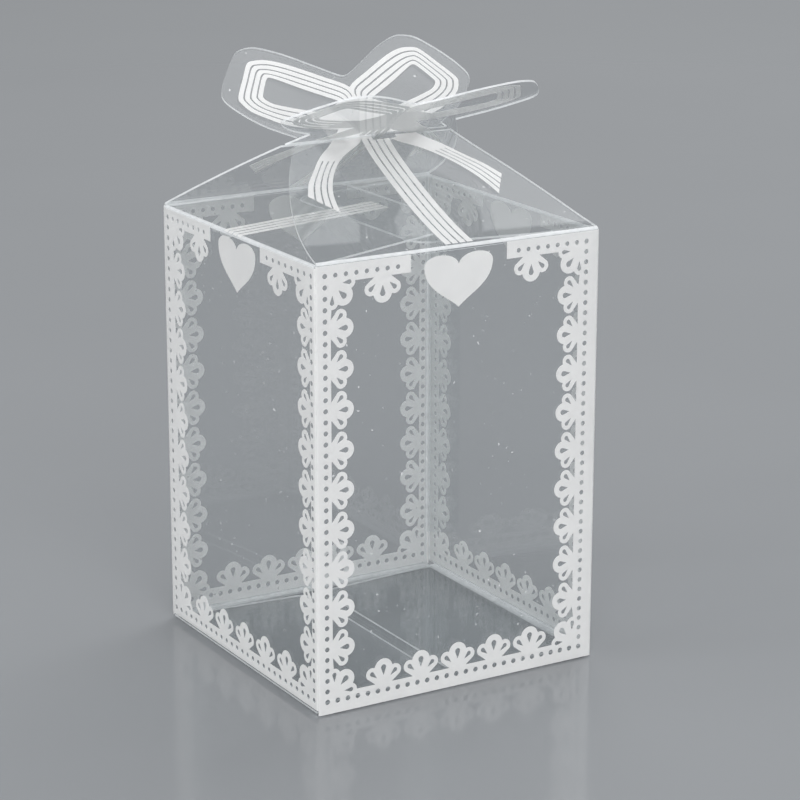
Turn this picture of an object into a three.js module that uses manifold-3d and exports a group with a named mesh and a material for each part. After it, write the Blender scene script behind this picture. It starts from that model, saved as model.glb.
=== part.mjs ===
// A clear gift box folded from one sheet of film: a square sleeve with a printed lace border and a
// heart on each wall, a roof whose two flaps cross in a bow, and a tuck-in base.
// Millimetres, +Z up, origin at the centre of the base. The front is -Y, where the first bow stands.
import * as THREE from "three";
import { mergeVertices } from "three/addons/utils/BufferGeometryUtils.js";
import Module from "manifold-3d";

const wasm = await Module();
wasm.setup();

// Outside size over the print, and the height of the front and back walls' top creases
const WIDTH = 50;
const DEPTH = 50;
const CREASE_HEIGHT = 70;

// The sheet, its print, and the slack that each fold line leaves between two panels
const FILM = 0.3;
const INK = 0.1;
const INK_LIFT = 0.02;
const FOLD_GAP = 0.3;

// The side walls are shorter, so that their flaps lie under the roof and over the base panel
const SIDE_TOP_DROP = 0.9;
const SIDE_BASE_RISE = 1.2;

// Lace border on each wall: bands with flowers along their inner edge
const LACE_BAND = 2.7;
const LACE_BASE_BAND = 3.1;
const LACE_TOP_RUN = 16;
const SIDE_FLOWERS = 9;
const BASE_FLOWERS = 5;
const FIRST_SIDE_FLOWER = 10.2;
const FIRST_BASE_FLOWER = 11.4;

// One flower: two side petals and a long middle one, each an arc between two angles in degrees. The
// side rows' flowers are smaller, and a corner one stands off the corner and has shorter side arcs.
const FLOWER_HEIGHT = 4.0;
const FLOWER_FOOT = 1.45;
const MIDDLE_PETAL = 1.58;
const MIDDLE_PETAL_ARC = [166, 14];
const SIDE_PETAL = 1.05;
const SIDE_PETAL_ARC = [215, 65];
const SIDE_PETAL_OFFSET = 2.03;
const SIDE_PETAL_RISE = 1.75;
const CORNER_PETAL_ARC = [140, 65];
const CORNER_STAND_OFF = 0.45;
const SIDE_FLOWER_SCALE = 0.95;
const PETAL_STEPS = 3;

// Eyelets: each a wedge from its point near the flower's foot to its wide end in the petal
const MIDDLE_EYELET = [[0, 1.25], [0.42, 2.8], [-0.42, 2.8]];
const SIDE_EYELET = [[-1.17, 0.97], [-1.95, 2.2], [-2.45, 1.7]];

// Heart that hangs in the gap of the lace's top band, with the reach of its curves' handles
const HEART_WIDTH = 11.8;
const HEART_HEIGHT = 8.25;
const HEART_DROP = 1.0;
const HEART_CLEFT = 1.65;
const HEART_SHOULDER = 1.95;
const HEART_CLEFT_HANDLE = 0.7;
const HEART_CROWN_HANDLE = 2.2;
const HEART_FLANK_HANDLE = 3.4;
const HEART_TIP_HANDLE = 1.8;

// Roof flaps: plain roof from the crease to the neck over the middle of the box, then the bow
const FRONT_ROOF_TILT = 24.5;
const FRONT_BOW_TILT = 35.9;
const BACK_ROOF_TILT = 27.8;
const BACK_BOW_TILT = 28.5;
const FLAP_EDGE_TAPER = 0.1;
const FLAP_EDGE_CURVE = 0.0093;
const SLIT_WIDTH = 0.9;
const SLIT_OVERRUN = 0.4;

// Bow: corners of the film's outline and of the printed loop, across the sheet and up it from the neck
const NOTCH_RISE = 5.5;
const BOW_FILM_SIDE = [22.9, 12.8, 4.4];
const BOW_FILM_TOP = [14.7, 26.6, 4.2];
const BOW_FILM_DIP = [0, 16.7, 0.8];
const LOOP_OUTER = [[0, 14.4], [14.4, 23.0], [20.7, 13.0], [6.5, 4.6]];
const LOOP_INNER = [[2.4, 11.4], [13.2, 19.0], [16.3, 13.8], [5.5, 9.3]];
const LOOP_OUTER_ROUND = 3.2;
const LOOP_INNER_ROUND = 1.6;
const LOOP_STRIPES_START = 0.16;
const KNOT_APEX = [3, 2.3];
const KNOT_TAIL_SHARE = 0.86;

// Ribbons are printed as four stripes
const STRIPES = 4;
const STRIPE_GAP = 0.3;
const RIBBON_WIDTH = 4.6;
const RIBBON_JOIN = 1.2;
const TAIL_INNER = [[14, -12.8], [10.95, -3.7], [3.3, 2.6]];
const TAIL_OUTER = [[17, -8.4], [13.7, -2.7], [8.4, 2.6]];

// Top dust flaps: the left one lies over the right one
const TOP_FLAP_OVERLAP = 8.5;
const TOP_FLAP_SHOULDER = 2;
const TOP_FLAP_TIP_INSET = 6;
const DUST_FLAP_ROUND = 3;
const LEFT_TOP_FLAP_TILT = 2.5;

// Base: a panel hinged on the back wall, its tongue, and two dust flaps above it
const BASE_FLAP_TIP_GAP = 2.3;
const BASE_FLAP_SIDE_CLEARANCE = 2;
const BASE_FLAP_TAPER = 1.5;
const TONGUE_HEIGHT = 12.4;
const TONGUE_ROUND = 5;
const TONGUE_TAPER = 1;
const TONGUE_CREASE_GAP = 0.4;
const BASE_SIDE_CLEARANCE = 0.4;

// Glue flap inside the right wall
const GLUE_FLAP_WIDTH = 10;
const GLUE_FLAP_END = 5;
const GLUE_FLAP_TAPER = 3;

const CURVE_STEPS = 5;
const EDGE_STEP = 5;
const TAIL_SEARCH_STEP = 0.002;

const halfWidth = WIDTH / 2 - INK;
const halfDepth = DEPTH / 2 - INK;
const insideDepth = halfDepth - FILM;
const wallTop = CREASE_HEIGHT - FILM / 2 - FOLD_GAP;
const sideTop = wallTop - SIDE_TOP_DROP + FILM / 2;
const sideBase = SIDE_BASE_RISE;
const sideAxis = halfWidth - FILM / 2;
const neckReach = DEPTH / 2;
const tongueAxis = insideDepth - FOLD_GAP - FILM / 2;

const clearFilm = () => new THREE.MeshStandardMaterial({
  color: 0xdfe8ea, roughness: 0.06, metalness: 0, transparent: true, opacity: 0.28,
});
const whiteInk = () => new THREE.MeshStandardMaterial({ color: 0xe9e8e6, roughness: 0.45, metalness: 0 });

const model = new THREE.Group();

// A panel's own frame: u across it, v away from its crease, and the outside face along u x v
function panel(origin, across, away) {
  const group = new THREE.Group();
  const normal = new THREE.Vector3().crossVectors(across, away);
  group.matrix.makeBasis(across, away, normal).setPosition(origin);
  group.matrix.decompose(group.position, group.quaternion, group.scale);
  model.add(group);
  return group;
}

function addMesh(group, name, geometry, material) {
  const mesh = new THREE.Mesh(geometry, material);
  mesh.name = name;
  group.add(mesh);
}

// A flat piece of the sheet or of its print, between two levels along the panel's normal
function sheet(shape, low, high) {
  const geometry = new THREE.ExtrudeGeometry(shape, {
    depth: high - low, bevelEnabled: false, curveSegments: CURVE_STEPS,
  });
  return geometry.translate(0, 0, low);
}

const point = (u, v) => new THREE.Vector2(u, v);
const toPoints = (list) => list.map(([u, v]) => point(u, v));
const mirrored = (points) => points.map((p) => point(-p.x, p.y)).reverse();
const mix = (a, b, f) => a.clone().lerp(b, f);

function toSolid(geometry) {
  const bare = geometry.clone();
  bare.deleteAttribute("normal");
  bare.deleteAttribute("uv");
  const merged = mergeVertices(bare, 1e-4);
  return new wasm.Manifold(new wasm.Mesh({
    numProp: 3,
    vertProperties: merged.attributes.position.array,
    triVerts: new Uint32Array(merged.index.array),
  }));
}

function toGeometry(solid) {
  const mesh = solid.getMesh();
  const geometry = new THREE.BufferGeometry();
  geometry.setAttribute("position", new THREE.BufferAttribute(mesh.vertProperties, 3));
  geometry.setIndex(new THREE.BufferAttribute(mesh.triVerts, 1));
  return geometry;
}

// Cuts a slit, and keeps the body that stays whole beside it
function cutSlit(geometry, slit) {
  const bodies = toSolid(geometry).subtract(toSolid(slit)).decompose();
  bodies.sort((a, b) => b.volume() - a.volume());
  return toGeometry(bodies[0]);
}

// Points of a corner rounded with a tangent curve, set back along both sides
function roundedCorner(before, corner, after, round) {
  const back = (to) => {
    const reach = Math.min(round, 0.45 * corner.distanceTo(to));
    return mix(corner, to, reach / corner.distanceTo(to));
  };
  return new THREE.QuadraticBezierCurve(back(before), corner, back(after)).getPoints(CURVE_STEPS - 1);
}

// Walls

function wallOutline(half, low, high) {
  return new THREE.Shape([point(-half, low), point(half, low), point(half, high), point(-half, high)]);
}

function arc(centre, radius, [from, to]) {
  return Array.from({ length: PETAL_STEPS + 1 }, (_, i) => {
    const angle = THREE.MathUtils.degToRad(THREE.MathUtils.lerp(from, to, i / PETAL_STEPS));
    return point(centre.x + radius * Math.cos(angle), centre.y + radius * Math.sin(angle));
  });
}

// Puts points that are drawn for a flower pointing up at its place, in its direction and at its size
function placed(points, place, towards, size) {
  const side = point(-towards.y, towards.x);
  return points.map((p) => place.clone()
    .addScaledVector(side, size * p.x)
    .addScaledVector(towards, size * p.y));
}

// A flower's outline, from one foot on the band over its three petals to the other foot
function flowerLine(corner) {
  const centre = point(-SIDE_PETAL_OFFSET, SIDE_PETAL_RISE);
  const sidePetal = arc(centre, SIDE_PETAL, corner ? CORNER_PETAL_ARC : SIDE_PETAL_ARC);
  const left = corner ? sidePetal : [point(-FLOWER_FOOT, 0), ...sidePetal];
  const middle = arc(point(0, FLOWER_HEIGHT - MIDDLE_PETAL), MIDDLE_PETAL, MIDDLE_PETAL_ARC);
  return [...left, ...middle, ...mirrored(left)];
}

function eyeletLines() {
  const side = toPoints(SIDE_EYELET);
  return [toPoints(MIDDLE_EYELET), side, mirrored(side)];
}

// Evenly spaced places along an edge, the first and last alike from its ends
function spaced(count, length, first) {
  const pitch = (length - 2 * first) / (count - 1);
  return Array.from({ length: count }, (_, i) => first + i * pitch);
}

// The lace as one outline: around the outside, then back along the band's inner edge
function laceShape(half, low, high) {
  const left = -half + LACE_BAND;
  const right = half - LACE_BAND;
  const base = low + LACE_BASE_BAND;
  const top = high - LACE_BAND;
  const runEnd = half - LACE_TOP_RUN;
  const flowers = [];
  const add = (u, v, towards, size) => flowers.push({ place: point(u, v), towards, size });
  const addCorner = (u, v, acrossSign, upSign) => {
    const towards = point(acrossSign, upSign).normalize();
    const place = point(u, v).addScaledVector(towards, CORNER_STAND_OFF);
    flowers.push({ place, towards, size: 1, corner: true });
  };
  const rows = spaced(SIDE_FLOWERS, high - low, FIRST_SIDE_FLOWER);
  const columns = spaced(BASE_FLOWERS, 2 * half, FIRST_BASE_FLOWER);
  add(half - FIRST_BASE_FLOWER, top, point(0, -1), 1);
  addCorner(right, top, -1, -1);
  rows.forEach((d) => add(right, high - d, point(-1, 0), SIDE_FLOWER_SCALE));
  addCorner(right, base, -1, 1);
  columns.forEach((d) => add(half - d, base, point(0, 1), 1));
  addCorner(left, base, 1, 1);
  [...rows].reverse().forEach((d) => add(left, high - d, point(1, 0), SIDE_FLOWER_SCALE));
  addCorner(left, top, 1, -1);
  add(-half + FIRST_BASE_FLOWER, top, point(0, -1), 1);
  const outline = [
    point(-runEnd, top), point(-runEnd, high), point(-half, high), point(-half, low), point(half, low),
    point(half, high), point(runEnd, high), point(runEnd, top),
    ...flowers.flatMap(({ place, towards, size, corner }) =>
      placed(flowerLine(corner), place, towards, size)),
  ];
  const shape = new THREE.Shape(outline);
  shape.holes = flowers.flatMap(({ place, towards, size }) =>
    eyeletLines().map((line) => new THREE.Path(placed(line, place, towards, size))));
  return shape;
}

function heartShape(top) {
  const crown = top - HEART_DROP;
  const tip = crown - HEART_HEIGHT;
  const cleft = crown - HEART_CLEFT;
  const shoulder = crown - HEART_SHOULDER;
  const half = HEART_WIDTH / 2;
  const flank = [
    point(0, tip), point(HEART_TIP_HANDLE, tip + HEART_TIP_HANDLE),
    point(half, shoulder - HEART_FLANK_HANDLE), point(half, shoulder),
  ];
  const lobe = [
    point(half, shoulder), point(half, shoulder + HEART_CROWN_HANDLE),
    point(HEART_CLEFT_HANDLE, shoulder + HEART_CROWN_HANDLE), point(0, cleft),
  ];
  const curve = (handles) => new THREE.CubicBezierCurve(...handles).getPoints(2 * CURVE_STEPS);
  const right = [...curve(flank), ...curve(lobe).slice(1)];
  return new THREE.Shape([...right, ...mirrored(right).slice(1, -1)]);
}

function addWall(side, outside, across, halfFilm, halfInk, low, high) {
  const up = new THREE.Vector3(0, 0, 1);
  const group = panel(outside, across, up);
  const film = sheet(wallOutline(halfFilm, low, high), -FILM - INK, -INK);
  addMesh(group, `wall_${side}`, film, clearFilm());
  addMesh(group, `lace_${side}`, sheet(laceShape(halfInk, low, high), -INK, 0), whiteInk());
  addMesh(group, `heart_${side}`, sheet(heartShape(high), -INK, 0), whiteInk());
}

function addSleeve() {
  const x = (value) => new THREE.Vector3(value, 0, 0);
  const y = (value) => new THREE.Vector3(0, value, 0);
  addWall("front", y(-DEPTH / 2), x(1), halfWidth, halfWidth, 0, wallTop);
  addWall("back", y(DEPTH / 2), x(-1), halfWidth, halfWidth, 0, wallTop);
  addWall("right", x(WIDTH / 2), y(1), insideDepth, halfDepth, sideBase, sideTop);
  addWall("left", x(-WIDTH / 2), y(-1), insideDepth, halfDepth, sideBase, sideTop);
}

// The lap that closes the sleeve: creased on the back wall and glued inside the right one
function addGlueFlap() {
  const inside = new THREE.Vector3(halfWidth - FILM, 0, 0);
  const group = panel(inside, new THREE.Vector3(0, 1, 0), new THREE.Vector3(0, 0, 1));
  const root = insideDepth;
  const edge = root - GLUE_FLAP_WIDTH;
  const low = sideBase + GLUE_FLAP_END;
  const high = sideTop - GLUE_FLAP_END;
  const shape = new THREE.Shape([
    point(root, low), point(root, high), point(edge, high - GLUE_FLAP_TAPER),
    point(edge, low + GLUE_FLAP_TAPER),
  ]);
  addMesh(group, "glue_flap", sheet(shape, -FILM, 0), clearFilm());
}

// Roof flaps and bow

const flapHalfWidth = (v) => halfWidth - FILM - FLAP_EDGE_TAPER * v - FLAP_EDGE_CURVE * v * v;

function flapEdge(from, to) {
  const steps = Math.max(1, Math.round((to - from) / EDGE_STEP));
  return Array.from({ length: steps + 1 }, (_, i) => {
    const v = from + ((to - from) * i) / steps;
    return point(flapHalfWidth(v), v);
  });
}

function roofShape() {
  const edge = flapEdge(FOLD_GAP, neckReach);
  return new THREE.Shape([...edge, ...mirrored(edge)]);
}

function bowFilmShape() {
  const neckEdge = flapEdge(neckReach + FOLD_GAP, neckReach + NOTCH_RISE)
    .map((p) => point(p.x, p.y - neckReach));
  const notch = neckEdge[neckEdge.length - 1];
  const corner = ([u, v]) => point(u, v);
  const dip = corner(BOW_FILM_DIP);
  const side = corner(BOW_FILM_SIDE);
  const top = corner(BOW_FILM_TOP);
  const right = [
    ...neckEdge,
    ...roundedCorner(notch, side, top, BOW_FILM_SIDE[2]),
    ...roundedCorner(side, top, dip, BOW_FILM_TOP[2]),
    mix(dip, top, BOW_FILM_DIP[2] / dip.distanceTo(top)),
  ];
  return new THREE.Shape([...right, ...mirrored(right)]);
}

// The right loop's line at a fraction from its outer edge to its inner edge
function loopLine(fraction, cutShort) {
  const corners = toPoints(LOOP_OUTER).map((p, i) => mix(p, toPoints(LOOP_INNER)[i], fraction));
  const round = THREE.MathUtils.lerp(LOOP_OUTER_ROUND, LOOP_INNER_ROUND, fraction);
  return [
    mix(corners[0], corners[1], cutShort),
    ...roundedCorner(corners[0], corners[1], corners[2], round),
    ...roundedCorner(corners[1], corners[2], corners[3], round),
    mix(corners[3], corners[2], cutShort),
  ];
}

// Where each gap between stripes starts and ends, as fractions of a ribbon's width
function stripeGaps(width) {
  const stripe = (width - (STRIPES - 1) * STRIPE_GAP) / STRIPES;
  return Array.from({ length: STRIPES - 1 }, (_, i) => {
    const from = (i + 1) * stripe + i * STRIPE_GAP;
    return [from / width, (from + STRIPE_GAP) / width];
  });
}

function bowPrintShape() {
  const low = FOLD_GAP;
  const right = [
    point(RIBBON_WIDTH / 2, low), point(...KNOT_APEX), point(tailPoint(0, KNOT_TAIL_SHARE).x, low),
    point(tailPoint(1, KNOT_TAIL_SHARE).x, low), point(...TAIL_OUTER[2]),
    ...loopLine(0, 0).reverse().slice(0, -1),
  ];
  const shape = new THREE.Shape([...right, point(...LOOP_OUTER[0]), ...mirrored(right)]);
  const band = point(...LOOP_OUTER[1]).distanceTo(point(...LOOP_INNER[1]));
  const holes = [loopLine(1, 0)];
  stripeGaps(band).forEach(([from, to]) => {
    holes.push([...loopLine(from, LOOP_STRIPES_START), ...loopLine(to, LOOP_STRIPES_START).reverse()]);
  });
  shape.holes = [...holes, ...holes.map(mirrored)].map((points) => new THREE.Path(points));
  return shape;
}

// A ribbon as a comb: stripes that are free at the cut end and joined at the other
function combShape(at, width, join) {
  const steps = Array.from({ length: CURVE_STEPS + 1 }, (_, i) => i / CURVE_STEPS);
  const points = [...steps.map((t) => at(1, t)), ...steps.map((t) => at(0, t)).reverse()];
  stripeGaps(width).forEach(([from, to]) => {
    const run = steps.map((t) => t * join);
    points.push(...run.map((t) => at(from, t)), ...run.map((t) => at(to, t)).reverse());
  });
  return new THREE.Shape(points);
}

function tailPoint(side, t) {
  const curve = (list) => new THREE.QuadraticBezierCurve(...toPoints(list)).getPoint(t);
  return mix(curve(TAIL_INNER), curve(TAIL_OUTER), side);
}

// How far along each tail curve the neck's line lies
function tailReach(side) {
  let t = 0;
  while (tailPoint(side, t).y < 0) t += TAIL_SEARCH_STEP;
  return t;
}

function tailShape(hand) {
  const inner = tailReach(0);
  const outer = tailReach(1);
  const width = point(...TAIL_INNER[0]).distanceTo(point(...TAIL_OUTER[0]));
  const at = (side, t) => {
    const p = tailPoint(side, t * THREE.MathUtils.lerp(inner, outer, side));
    return point(hand * p.x, neckReach + Math.min(p.y, 0));
  };
  return combShape(at, width, 1 + RIBBON_JOIN / TAIL_INNER[0][1]);
}

function ribbonShape(from, to, join) {
  const straight = [
    point(RIBBON_WIDTH / 2, to), point(-RIBBON_WIDTH / 2, to), point(-RIBBON_WIDTH / 2, from),
  ];
  stripeGaps(RIBBON_WIDTH).forEach(([left, right]) => {
    const a = (left - 0.5) * RIBBON_WIDTH;
    const b = (right - 0.5) * RIBBON_WIDTH;
    straight.push(point(a, from), point(a, to - join), point(b, to - join), point(b, from));
  });
  return new THREE.Shape([...straight, point(RIBBON_WIDTH / 2, from)]);
}

const tilted = (degrees) => {
  const angle = THREE.MathUtils.degToRad(degrees);
  return { run: Math.cos(angle), rise: Math.sin(angle) };
};

// Side view of a roof flap: its crease, its neck and the way that its bow goes on. Inwards is +1 for
// the front flap and -1 for the back one.
function flapProfile(inwards, roofTilt, bowTilt) {
  const roof = tilted(roofTilt);
  const bow = tilted(bowTilt);
  const crease = new THREE.Vector3(0, -inwards * (halfDepth - FILM / 2), CREASE_HEIGHT - FILM / 2);
  const roofAway = new THREE.Vector3(0, inwards * roof.run, roof.rise);
  const bowAway = new THREE.Vector3(0, inwards * bow.run, bow.rise);
  const neck = crease.clone().addScaledVector(roofAway, neckReach);
  return { inwards, crease, neck, roofAway, bowAway };
}

// How far up its bow from the neck a flap meets the other flap's bow
function crossing(own, other) {
  const gap = other.neck.clone().sub(own.neck);
  const cross = (a, b) => a.y * b.z - a.z * b.y;
  return cross(gap, other.bowAway) / cross(own.bowAway, other.bowAway);
}

function addRoof(side, own, other) {
  const across = new THREE.Vector3(own.inwards, 0, 0);
  const roof = panel(own.crease, across, own.roofAway);
  addMesh(roof, `roof_${side}`, sheet(roofShape(), -FILM / 2, FILM / 2), clearFilm());
  const low = FILM / 2 + INK_LIFT;
  const high = low + INK;
  const ribbon = ribbonShape(2 * FOLD_GAP, neckReach, RIBBON_JOIN);
  addMesh(roof, `ribbon_${side}`, sheet(ribbon, low, high), whiteInk());
  addMesh(roof, `tail_right_${side}`, sheet(tailShape(1), low, high), whiteInk());
  addMesh(roof, `tail_left_${side}`, sheet(tailShape(-1), low, high), whiteInk());

  const bow = panel(own.neck, across, own.bowAway);
  const meet = crossing(own, other);
  const outside = BOW_FILM_SIDE[0];
  const slitShape = new THREE.Shape([
    point(-SLIT_OVERRUN, meet - SLIT_WIDTH / 2), point(outside, meet - SLIT_WIDTH / 2),
    point(outside, meet + SLIT_WIDTH / 2), point(-SLIT_OVERRUN, meet + SLIT_WIDTH / 2),
  ]);
  const slit = sheet(slitShape, -FILM, FILM);
  addMesh(bow, `bow_${side}`, cutSlit(sheet(bowFilmShape(), -FILM / 2, FILM / 2), slit), clearFilm());
  addMesh(bow, `bow_print_${side}`, cutSlit(sheet(bowPrintShape(), low, high), slit), whiteInk());
}

// Top dust flaps

function topFlapShape(reach) {
  const root = halfDepth - 2 * FILM;
  const tip = halfDepth - TOP_FLAP_TIP_INSET;
  const shoulder = point(root - TOP_FLAP_SHOULDER / 2, TOP_FLAP_SHOULDER);
  const corner = point(tip, reach);
  const end = point(0, reach);
  const right = [point(root, 0), shoulder, ...roundedCorner(shoulder, corner, end, DUST_FLAP_ROUND)];
  return new THREE.Shape([...right, ...mirrored(right)]);
}

function addTopFlap(side, inwards, tilt) {
  const { run, rise } = tilted(tilt);
  const reach = sideAxis + TOP_FLAP_OVERLAP / 2;
  const axis = new THREE.Vector3(-inwards * sideAxis, 0, sideTop + FILM / 2);
  const group = panel(axis, new THREE.Vector3(0, -inwards, 0), new THREE.Vector3(inwards * run, 0, rise));
  const low = FILM / 2;
  const high = low + FILM;
  addMesh(group, `top_flap_${side}`, sheet(topFlapShape(reach), low, high), clearFilm());
  const ribbon = ribbonShape(2 * FOLD_GAP, reach - RIBBON_JOIN, RIBBON_JOIN);
  addMesh(group, `top_ribbon_${side}`, sheet(ribbon, high + INK_LIFT, high + INK_LIFT + INK), whiteInk());
}

// Base

// A flap whose sides run in by a taper to a rounded end
function taperedShape(half, low, reach, taper, round) {
  const root = point(half, low);
  const right = [root, ...roundedCorner(root, point(half - taper, reach), point(0, reach), round)];
  return new THREE.Shape([...right, ...mirrored(right)]);
}

function addBase() {
  const x = new THREE.Vector3(1, 0, 0);
  const y = new THREE.Vector3(0, 1, 0);
  const z = new THREE.Vector3(0, 0, 1);
  const half = halfWidth - FILM;
  const floor = panel(new THREE.Vector3(), x, y);
  const floorShape = wallOutline(half, -tongueAxis + TONGUE_CREASE_GAP, insideDepth - FOLD_GAP);
  addMesh(floor, "base_panel", sheet(floorShape, 0, FILM), clearFilm());

  const tongue = panel(new THREE.Vector3(0, -tongueAxis, 0), x, z);
  const tongueHalf = half - BASE_SIDE_CLEARANCE;
  const tongueRoot = FILM / 2 + TONGUE_CREASE_GAP;
  const tongueShape = taperedShape(tongueHalf, tongueRoot, TONGUE_HEIGHT, TONGUE_TAPER, TONGUE_ROUND);
  addMesh(tongue, "base_tongue", sheet(tongueShape, -FILM / 2, FILM / 2), clearFilm());

  const level = sideBase - FOLD_GAP - FILM;
  const flapHalf = insideDepth - BASE_FLAP_SIDE_CLEARANCE;
  const flapReach = sideAxis - BASE_FLAP_TIP_GAP / 2;
  for (const [side, inwards] of [["left", 1], ["right", -1]]) {
    const axis = new THREE.Vector3(-inwards * sideAxis, 0, 0);
    const group = panel(axis, new THREE.Vector3(0, -inwards, 0), new THREE.Vector3(inwards, 0, 0));
    const shape = taperedShape(flapHalf, 0, flapReach, BASE_FLAP_TAPER, DUST_FLAP_ROUND);
    addMesh(group, `base_flap_${side}`, sheet(shape, level, level + FILM), clearFilm());
  }
}

addSleeve();
addGlueFlap();
const front = flapProfile(1, FRONT_ROOF_TILT, FRONT_BOW_TILT);
const back = flapProfile(-1, BACK_ROOF_TILT, BACK_BOW_TILT);
addRoof("front", front, back);
addRoof("back", back, front);
addTopFlap("left", 1, LEFT_TOP_FLAP_TILT);
addTopFlap("right", -1, 0);
addBase();

export default model;
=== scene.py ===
import math

import bpy
from mathutils import Matrix, Vector, geometry


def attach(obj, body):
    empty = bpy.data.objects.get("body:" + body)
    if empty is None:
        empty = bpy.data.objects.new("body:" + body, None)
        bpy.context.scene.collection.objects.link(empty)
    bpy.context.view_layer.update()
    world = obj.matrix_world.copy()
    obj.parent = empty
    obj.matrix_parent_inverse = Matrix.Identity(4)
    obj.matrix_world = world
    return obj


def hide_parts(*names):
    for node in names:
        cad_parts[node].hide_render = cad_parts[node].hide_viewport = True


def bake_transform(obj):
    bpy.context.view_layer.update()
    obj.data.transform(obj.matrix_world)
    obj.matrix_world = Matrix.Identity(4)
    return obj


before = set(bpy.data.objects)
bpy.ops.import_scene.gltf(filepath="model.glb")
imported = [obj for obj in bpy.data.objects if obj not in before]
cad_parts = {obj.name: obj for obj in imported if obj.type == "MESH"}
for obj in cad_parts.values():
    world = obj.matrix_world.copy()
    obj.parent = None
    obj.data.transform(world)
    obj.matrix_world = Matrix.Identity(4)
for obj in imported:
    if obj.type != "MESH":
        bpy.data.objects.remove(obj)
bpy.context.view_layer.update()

# A gift box folded from one sheet of clear film with white print. Sizes are in millimetres, as on the
# sheet, and place() brings each finished piece to metres. Angles are in degrees.
MM = 0.001
DIAGONAL = math.sqrt(0.5)
ACROSS = Vector((1, 0, 0))
UP = Vector((0, 1, 0))

# The sheet: how thick the film and the print are, the gap between them, and how far the middle of each
# wall's film is from the box's centre line
FILM = 0.3
INK = 0.05
INK_LIFT = 0.01
WALL = 24.75

# Folds: the radius of the sleeve's corners and of the flaps' creases, and how much of the sheet each takes
FOLD = 0.35
TIGHT_FOLD = 0.3
CORNER_LENGTH = math.pi * FOLD / 2
CREASE_LENGTH = math.pi * TIGHT_FOLD / 2

# How finely the sheet is worked: steps in each kind of curve, the distance between the rows of a curved
# flap, the distance under which points are merged, and the angle up to which faces are shaded smooth
FOLD_STEPS = 6
PRINT_FOLD_STEPS = 3
SMOOTH_STEPS = 4
CORNER_STEPS = 8
EYELET_STEPS = 9
HEART_STEPS = 14
HOLE_SIDES = 10
ROW = 2.0
MERGE = 0.001
SMOOTH_ANGLE = 30

# Heights from the floor: the creases at the top, then the lower and upper edge of each wall's film and lace
ROOF_CREASE = 69.85
DUST_FLAP_CREASE = 69.3
FRONT_WALL = (0.02, 69.4)
BACK_WALL = (0.65, 69.4)
SIDE_WALL = (1.2, 69.15)
FRONT_LACE = (0.03, 69.6)
BACK_LACE = (0.35, 69.6)
SIDE_LACE = (0.85, 69.35)

# The lap glued inside the right wall: the glue's thickness, how far back the lap's free edge lies, its
# heights at its fold, how much it narrows at each end, and the gap between the right wall and the back one
GLUE = 0.02
LAP_EDGE = 14.6
LAP_HEIGHTS = (6.2, 63.8)
LAP_TAPER = 3.0
SEAM_GAP = 0.3

# Lace: the heights that all four walls share, then the number and size of what repeats. RUN_ENDS is how far
# the last hole of each run is from the end of its band, at the left and at the right.
TOP_BAND = 66.95
BASE_BAND = 3.15
TOP_HOLES = 68.05
LOW_HOLES = 2.0
SIDE_FLOWERS = (60.0, 10.35)
SIDE_FLOWER_COUNT = 9
BASE_FLOWER_COUNT = 5
SIDE_FLOWER_SIZE = 0.95
CORNER_STAND_OFF = 0.45
COLUMN_HOLES = (40, 42)
BASE_HOLES = 27
RUN_HOLES = 8
RUN_ENDS = (2.2, 2.1)
TOP_HOLE = 0.375
COLUMN_HOLE = 0.4
BASE_HOLE = 0.425

# One flower that points up: its left foot, each petal as centre, radius, first and last angle and steps,
# and each eyelet as its point, the centre of its round end and its radius
FLOWER_FOOT = (-1.45, 0)
SIDE_PETAL = ((-2.03, 1.75), 1.05, 215, 65, 8)
CORNER_PETAL = ((-2.03, 1.75), 1.05, 140, 65, 4)
TOP_PETAL = ((0, 2.42), 1.58, 166, 14, 10)
SIDE_EYELET = ((-1.17, 0.97), (-2.05, 1.8), 0.36)
TOP_EYELET = ((0, 1.25), (0, 2.57), 0.46)

# Heart: the height of its crown, and its right side from its tip to the dip between its lobes, measured
# from the crown
HEART_CROWN = 69.2
HEART_FLANK = [(0, -8.55), (1.8, -6.75), (6.0, -5.45), (6.0, -1.95)]
HEART_LOBE = [(6.0, -1.95), (6.0, 0.2), (0.7, 0.2), (0, -1.9)]

# Where each wall's print lies, from the wall's left edge as seen from outside. Pairs are left and right,
# and rise is how much higher the lower part is than the heights above.
WALL_WIDTH = 50.0
LACE_PLACES = {
    "front": {
        "bands": (2.75, 46.35), "flowers": (2.65, 46.1), "hanging": (11.4, 37.4), "runs": (16.2, 33.0),
        "base": (11.5, 38.1), "holes": (1.7, 47.45), "heart": 24.5, "rise": 0.0,
    },
    "left": {
        "bands": (3.6, 47.8), "flowers": (3.7, 48.3), "hanging": (12.8, 38.5), "runs": (16.7, 33.1),
        "base": (12.15, 40.1), "holes": (1.8, 48.7), "heart": 25.5, "rise": 0.2,
    },
    "back": {
        "bands": (2.4, 46.9), "flowers": (2.1, 46.9), "hanging": (11.4, 38.3), "runs": (16.2, 33.6),
        "base": (11.5, 38.5), "holes": (1.4, 48.1), "heart": 24.8, "rise": 0.3,
    },
    "right": {
        "bands": (3.2, 46.9), "flowers": (3.1, 46.9), "hanging": (11.9, 38.0), "runs": (16.4, 33.5),
        "base": (12.0, 38.5), "holes": (1.9, 47.9), "heart": 25.0, "rise": 0.6,
    },
}

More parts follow.
